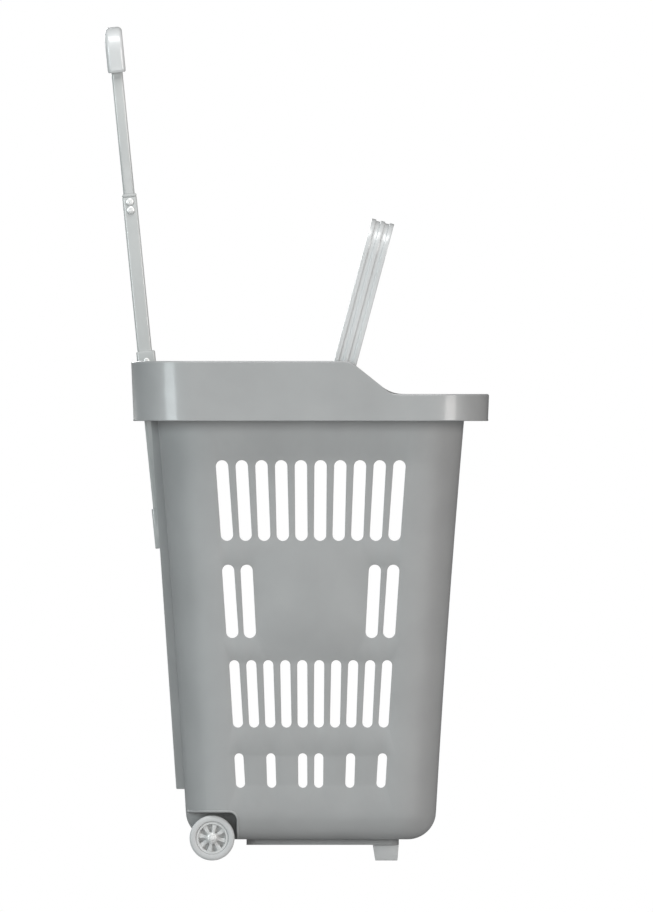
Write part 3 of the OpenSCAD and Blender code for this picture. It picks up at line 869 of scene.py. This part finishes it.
def make_wheel_hub(name, side):
    """An outer ring, a hub and a thin web between them, with spokes on both faces of the web."""
    bm = bmesh.new()
    place = wheel_place(side)
    revolve(bm, eased(RING_INNER_R, TYRE_INNER_R, 8 * MM, 0.6 * MM), 96, place)
    revolve(bm, eased(BORE_R, HUB_R, 11 * MM, 0.9 * MM), 64, place)
    revolve(bm, eased(HUB_R - 2 * MM, RING_INNER_R + 0.6 * MM, 1.5 * MM, 0.3 * MM), 96, place)
    for i in range(SPOKES):
        angle = math.radians(SPOKE_TURN + 360 * i / SPOKES)
        for face in (1, -1):
            loops = spoke_loops(-side * angle, 1 * MM, 6 * MM)
            tube_of_loops(bm, [[place @ Vector((x, y, face * z)) for x, y, z in loop] for loop in loops])
    piece("wheel_hub_" + name + "_shaped", bm, ["wheel_hub_" + name])


def make_retainers():
    """A washer on each end of the axle, domed on its outside."""
    profile = [(r * MM, height * MM) for r, height in [
        (3, 11.3), (5.2, 11.3), (5.4, 11.5), (5.3, 12), (4.8, 12.4), (4.2, 12.5), (3.4, 12.3), (3, 11.9)]]
    bm = bmesh.new()
    for side in SIDES.values():
        revolve(bm, profile, 64, wheel_place(side))
    piece("axle_retainers_shaped", bm, ["axle_retainers"])


# ---- the whole trolley ----

make_rim()
make_tub()
make_recess_lips()
make_axle_boss()
make_tubes()
make_rivets()
make_collar_screws()
make_grip()
make_carry_handle()
for name, side in SIDES.items():
    make_tyre(name, side)
    make_wheel_hub(name, side)
make_retainers()


# ---- nodes that stay as the frame has them ----

EASE = 0.3 * MM
BROAD_EASE = 0.8 * MM
BROAD = ("rail", "front_foot", "base_plate")


def finish_node(name, ease):
    """Gives a CAD node its material, welded and smooth, with eased edges."""
    obj = frame["nodes"][name]
    obj.data.materials.clear()
    obj.data.materials.append(MATERIALS[SLOT_OF[name]])
    obj.data.shade_smooth()
    weld = obj.modifiers.new("weld", "WELD")
    weld.merge_threshold = 1e-5
    bevel = obj.modifiers.new("bevel", "BEVEL")
    bevel.width, bevel.segments, bevel.limit_method, bevel.angle_limit = ease, 3, "ANGLE", math.radians(40)
    bevel.harden_normals = True


for name in SLOT_OF:
    finish_node(name, BROAD_EASE if name.startswith(BROAD) else EASE)


# ---- floor, light and camera ----

def floor_material():
    """Pale and matt, with a faint glow of its own that keeps it pale far from the lights."""
    material = bpy.data.materials.new("floor")
    material.use_nodes = True
    shader = material.node_tree.nodes["Principled BSDF"]
    shader.inputs["Base Color"].default_value = (0.44, 0.44, 0.44, 1)
    shader.inputs["Roughness"].default_value = 0.8
    shader.inputs["Emission Color"].default_value = (1, 1, 1, 1)
    shader.inputs["Emission Strength"].default_value = 0.22
    return material


def add_floor():
    bpy.ops.mesh.primitive_plane_add(size=30, location=(0, 0, 0))
    floor = bpy.context.object
    floor.name = "floor"
    floor.data.materials.append(floor_material())
    floor.visible_glossy = False


def add_world():
    """White to the camera, softer to everything it lights."""
    world = bpy.data.worlds.new("studio")
    scene.world = world
    world.use_nodes = True
    tree = world.node_tree
    light_path = tree.nodes.new("ShaderNodeLightPath")
    seen = tree.nodes["Background"]
    seen.inputs["Color"].default_value = (1, 1, 1, 1)
    seen.inputs["Strength"].default_value = 1.0
    soft = tree.nodes.new("ShaderNodeBackground")
    soft.inputs["Color"].default_value = (0.9, 0.95, 1, 1)
    soft.inputs["Strength"].default_value = 0.04
    mix = tree.nodes.new("ShaderNodeMixShader")
    tree.links.new(light_path.outputs["Is Camera Ray"], mix.inputs["Fac"])
    tree.links.new(soft.outputs["Background"], mix.inputs[1])
    tree.links.new(seen.outputs["Background"], mix.inputs[2])
    tree.links.new(mix.outputs["Shader"], tree.nodes["World Output"].inputs["Surface"])


def area_light(name, place, target, size, power, colour=(1, 1, 1)):
    """A soft light at a place, turned to face its target."""
    light = bpy.data.lights.new(name, "AREA")
    light.shape = "RECTANGLE"
    light.size, light.size_y = size
    light.energy = power
    light.color = colour
    obj = bpy.data.objects.new(name, light)
    scene.collection.objects.link(obj)
    obj.location = place
    obj.rotation_mode = "QUATERNION"
    obj.rotation_quaternion = (Vector(target) - Vector(place)).to_track_quat("-Z", "Y")


def add_camera():
    """A view without perspective, square on to the right side."""
    data = bpy.data.cameras.new("camera")
    data.type = "ORTHO"
    data.ortho_scale = 1.0944
    camera = bpy.data.objects.new("camera", data)
    scene.collection.objects.link(camera)
    camera.location = (0.0357, -4, 0.4854)
    camera.rotation_euler = (math.pi / 2, 0, 0)
    scene.camera = camera


add_floor()
add_world()
area_light("front_left", (-4.1, -4.0, 1.7), (0, 0, 0.4), (2.0, 2.4), 150, (0.89, 0.98, 1.0))
area_light("front_right", (4.1, -4.0, 1.7), (0, 0, 0.4), (2.0, 2.4), 150, (1.0, 0.965, 0.945))
area_light("front_low", (0, -5.0, 0.1), (0, 0, 0.4), (2.6, 0.8), 24)
area_light("top", (0, -0.9, 2.7), (0, 0, 0.5), (1.8, 1.0), 42)
area_light("back", (-1.8, 4.4, 2.0), (0, 0, 0.4), (2.4, 2.0), 110)
add_camera()
scene.view_settings.view_transform = "Standard"
